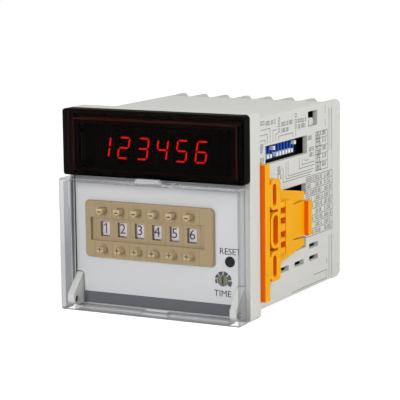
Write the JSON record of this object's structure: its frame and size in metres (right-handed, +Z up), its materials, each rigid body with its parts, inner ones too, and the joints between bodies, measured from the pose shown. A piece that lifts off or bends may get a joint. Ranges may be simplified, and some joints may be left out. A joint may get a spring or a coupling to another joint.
{
  "type": "panel counter",
  "caption": "Square panel counter: digital display above a clear hinged cover over push-button thumbwheel presets, with side clamping brackets and rear screw terminals.",
  "frame": {"origin": "centre of the bezel's rear face, where it seats on the panel", "axes": "+X right seen from the front, +Y back through the panel, +Z up"},
  "size_m": [0.0756, 0.0906, 0.072],
  "materials": {
    "case_grey": "fine moulded texture",
    "zinc_steel": "zinc plated",
    "brass_plate": "plain",
    "smoked_window": "polished smoked acrylic",
    "circuit_board": "solder resist",
    "led_module": "dull face",
    "fascia_silver": "satin printed film",
    "clear_cover": "polished clear polycarbonate",
    "black_plastic": "moulded",
    "blue_plastic": "moulded",
    "pale_plastic": "moulded",
    "core_steel": "varnished laminations",
    "copper_winding": "taped winding",
    "bracket_orange": "moulded",
    "switch_tan": "moulded",
    "wheel_white": "moulded"
  },
  "bodies": {
    "case": {"case": "case_grey", "terminal_block": "case_grey", "terminal_screws": "zinc_steel", "terminal_clamps": "brass_plate", "display_window": "smoked_window", "display_board": "circuit_board", "led_digits": "led_module", "front_panel": "fascia_silver", "control_board": "circuit_board", "reset_switch": "black_plastic", "trimmer_body": "blue_plastic", "main_board": "circuit_board", "dip_body": "blue_plastic", "slide_switch_body": "black_plastic", "power_board": "circuit_board", "transformer_core": "core_steel", "transformer_coil": "copper_winding", "relay": "black_plastic", "switch_end_left": "switch_tan", "switch_end_right": "switch_tan", "switch_module_1": "switch_tan", "switch_module_2": "switch_tan", "switch_module_3": "switch_tan", "switch_module_4": "switch_tan", "switch_module_5": "switch_tan", "switch_module_6": "switch_tan"},
    "cover": {"clear_cover": "clear_cover"},
    "minus_button_1": {"minus_button_1": "switch_tan"},
    "plus_button_1": {"plus_button_1": "switch_tan"},
    "minus_button_2": {"minus_button_2": "switch_tan"},
    "plus_button_2": {"plus_button_2": "switch_tan"},
    "minus_button_3": {"minus_button_3": "switch_tan"},
    "plus_button_3": {"plus_button_3": "switch_tan"},
    "minus_button_4": {"minus_button_4": "switch_tan"},
    "plus_button_4": {"plus_button_4": "switch_tan"},
    "minus_button_5": {"minus_button_5": "switch_tan"},
    "plus_button_5": {"plus_button_5": "switch_tan"},
    "minus_button_6": {"minus_button_6": "switch_tan"},
    "plus_button_6": {"plus_button_6": "switch_tan"},
    "digit_wheel_1": {"digit_wheel_1": "wheel_white"},
    "digit_wheel_2": {"digit_wheel_2": "wheel_white"},
    "digit_wheel_3": {"digit_wheel_3": "wheel_white"},
    "digit_wheel_4": {"digit_wheel_4": "wheel_white"},
    "digit_wheel_5": {"digit_wheel_5": "wheel_white"},
    "digit_wheel_6": {"digit_wheel_6": "wheel_white"},
    "reset_button": {"reset_button": "black_plastic"},
    "trimmer_rotor": {"trimmer_rotor": "pale_plastic"},
    "dip_lever_1": {"dip_lever_1": "pale_plastic"},
    "dip_lever_2": {"dip_lever_2": "pale_plastic"},
    "dip_lever_3": {"dip_lever_3": "pale_plastic"},
    "dip_lever_4": {"dip_lever_4": "pale_plastic"},
    "dip_lever_5": {"dip_lever_5": "pale_plastic"},
    "dip_lever_6": {"dip_lever_6": "pale_plastic"},
    "dip_lever_7": {"dip_lever_7": "pale_plastic"},
    "dip_lever_8": {"dip_lever_8": "pale_plastic"},
    "dip_lever_9": {"dip_lever_9": "pale_plastic"},
    "dip_lever_10": {"dip_lever_10": "pale_plastic"},
    "slide_switch_lever": {"slide_switch_lever": "pale_plastic"},
    "bracket_right": {"bracket_right": "bracket_orange"},
    "bracket_left": {"bracket_left": "bracket_orange"}
  },
  "joints": [
    {"name": "cover_hinge", "type": "hinge", "parent": "case", "child": "cover", "pos_m": [0, -0.0125, -0.0326], "axis": [1, 0, 0], "range_deg": [0, 90]},
    {"name": "minus_press_1", "type": "slide", "parent": "case", "child": "minus_button_1", "axis": [0, 1, 0], "range_m": [0, 0.001], "stiffness_N_per_m": 1500},
    {"name": "plus_press_1", "type": "slide", "parent": "case", "child": "plus_button_1", "axis": [0, 1, 0], "range_m": [0, 0.001], "stiffness_N_per_m": 1500},
    {"name": "minus_press_2", "type": "slide", "parent": "case", "child": "minus_button_2", "axis": [0, 1, 0], "range_m": [0, 0.001], "stiffness_N_per_m": 1500},
    {"name": "plus_press_2", "type": "slide", "parent": "case", "child": "plus_button_2", "axis": [0, 1, 0], "range_m": [0, 0.001], "stiffness_N_per_m": 1500},
    {"name": "minus_press_3", "type": "slide", "parent": "case", "child": "minus_button_3", "axis": [0, 1, 0], "range_m": [0, 0.001], "stiffness_N_per_m": 1500},
    {"name": "plus_press_3", "type": "slide", "parent": "case", "child": "plus_button_3", "axis": [0, 1, 0], "range_m": [0, 0.001], "stiffness_N_per_m": 1500},
    {"name": "minus_press_4", "type": "slide", "parent": "case", "child": "minus_button_4", "axis": [0, 1, 0], "range_m": [0, 0.001], "stiffness_N_per_m": 1500},
    {"name": "plus_press_4", "type": "slide", "parent": "case", "child": "plus_button_4", "axis": [0, 1, 0], "range_m": [0, 0.001], "stiffness_N_per_m": 1500},
    {"name": "minus_press_5", "type": "slide", "parent": "case", "child": "minus_button_5", "axis": [0, 1, 0], "range_m": [0, 0.001], "stiffness_N_per_m": 1500},
    {"name": "plus_press_5", "type": "slide", "parent": "case", "child": "plus_button_5", "axis": [0, 1, 0], "range_m": [0, 0.001], "stiffness_N_per_m": 1500},
    {"name": "minus_press_6", "type": "slide", "parent": "case", "child": "minus_button_6", "axis": [0, 1, 0], "range_m": [0, 0.001], "stiffness_N_per_m": 1500},
    {"name": "plus_press_6", "type": "slide", "parent": "case", "child": "plus_button_6", "axis": [0, 1, 0], "range_m": [0, 0.001], "stiffness_N_per_m": 1500},
    {"name": "wheel_turn_1", "type": "hinge", "parent": "case", "child": "digit_wheel_1", "pos_m": [-0.02145, 0.00005, -0.0071], "axis": [1, 0, 0], "continuous": true},
    {"name": "wheel_turn_2", "type": "hinge", "parent": "case", "child": "digit_wheel_2", "pos_m": [-0.01445, 0.00005, -0.0071], "axis": [1, 0, 0], "continuous": true},
    {"name": "wheel_turn_3", "type": "hinge", "parent": "case", "child": "digit_wheel_3", "pos_m": [-0.00745, 0.00005, -0.0071], "axis": [1, 0, 0], "continuous": true},
    {"name": "wheel_turn_4", "type": "hinge", "parent": "case", "child": "digit_wheel_4", "pos_m": [-0.00045, 0.00005, -0.0071], "axis": [1, 0, 0], "continuous": true},
    {"name": "wheel_turn_5", "type": "hinge", "parent": "case", "child": "digit_wheel_5", "pos_m": [0.00655, 0.00005, -0.0071], "axis": [1, 0, 0], "continuous": true},
    {"name": "wheel_turn_6", "type": "hinge", "parent": "case", "child": "digit_wheel_6", "pos_m": [0.01355, 0.00005, -0.0071], "axis": [1, 0, 0], "continuous": true},
    {"name": "reset_press", "type": "slide", "parent": "case", "child": "reset_button", "axis": [0, 1, 0], "range_m": [0, 0.0005], "stiffness_N_per_m": 3000},
    {"name": "trimmer_turn", "type": "hinge", "parent": "case", "child": "trimmer_rotor", "pos_m": [0.0252, 0, -0.022], "axis": [0, 1, 0], "range_deg": [-135, 135]},
    {"name": "dip_slide_1", "type": "slide", "parent": "case", "child": "dip_lever_1", "axis": [0, 0, 1], "range_m": [0, 0.0026]},
    {"name": "dip_slide_2", "type": "slide", "parent": "case", "child": "dip_lever_2", "axis": [0, 0, 1], "range_m": [0, 0.0026]},
    {"name": "dip_slide_3", "type": "slide", "parent": "case", "child": "dip_lever_3", "axis": [0, 0, 1], "range_m": [-0.0026, 0]},
    {"name": "dip_slide_4", "type": "slide", "parent": "case", "child": "dip_lever_4", "axis": [0, 0, 1], "range_m": [0, 0.0026]},
    {"name": "dip_slide_5", "type": "slide", "parent": "case", "child": "dip_lever_5", "axis": [0, 0, 1], "range_m": [0, 0.0026]},
    {"name": "dip_slide_6", "type": "slide", "parent": "case", "child": "dip_lever_6", "axis": [0, 0, 1], "range_m": [0, 0.0026]},
    {"name": "dip_slide_7", "type": "slide", "parent": "case", "child": "dip_lever_7", "axis": [0, 0, 1], "range_m": [0, 0.0026]},
    {"name": "dip_slide_8", "type": "slide", "parent": "case", "child": "dip_lever_8", "axis": [0, 0, 1], "range_m": [0, 0.0026]},
    {"name": "dip_slide_9", "type": "slide", "parent": "case", "child": "dip_lever_9", "axis": [0, 0, 1], "range_m": [0, 0.0026]},
    {"name": "dip_slide_10", "type": "slide", "parent": "case", "child": "dip_lever_10", "axis": [0, 0, 1], "range_m": [-0.0026, 0]},
    {"name": "slide_switch_slide", "type": "slide", "parent": "case", "child": "slide_switch_lever", "axis": [0, 0, 1], "range_m": [0, 0.0026]},
    {"name": "bracket_right_slide", "type": "slide", "parent": "case", "child": "bracket_right", "axis": [0, 1, 0], "range_m": [0, 0.006]},
    {"name": "bracket_left_slide", "type": "slide", "parent": "case", "child": "bracket_left", "axis": [0, 1, 0], "range_m": [0, 0.006]}
  ]
}
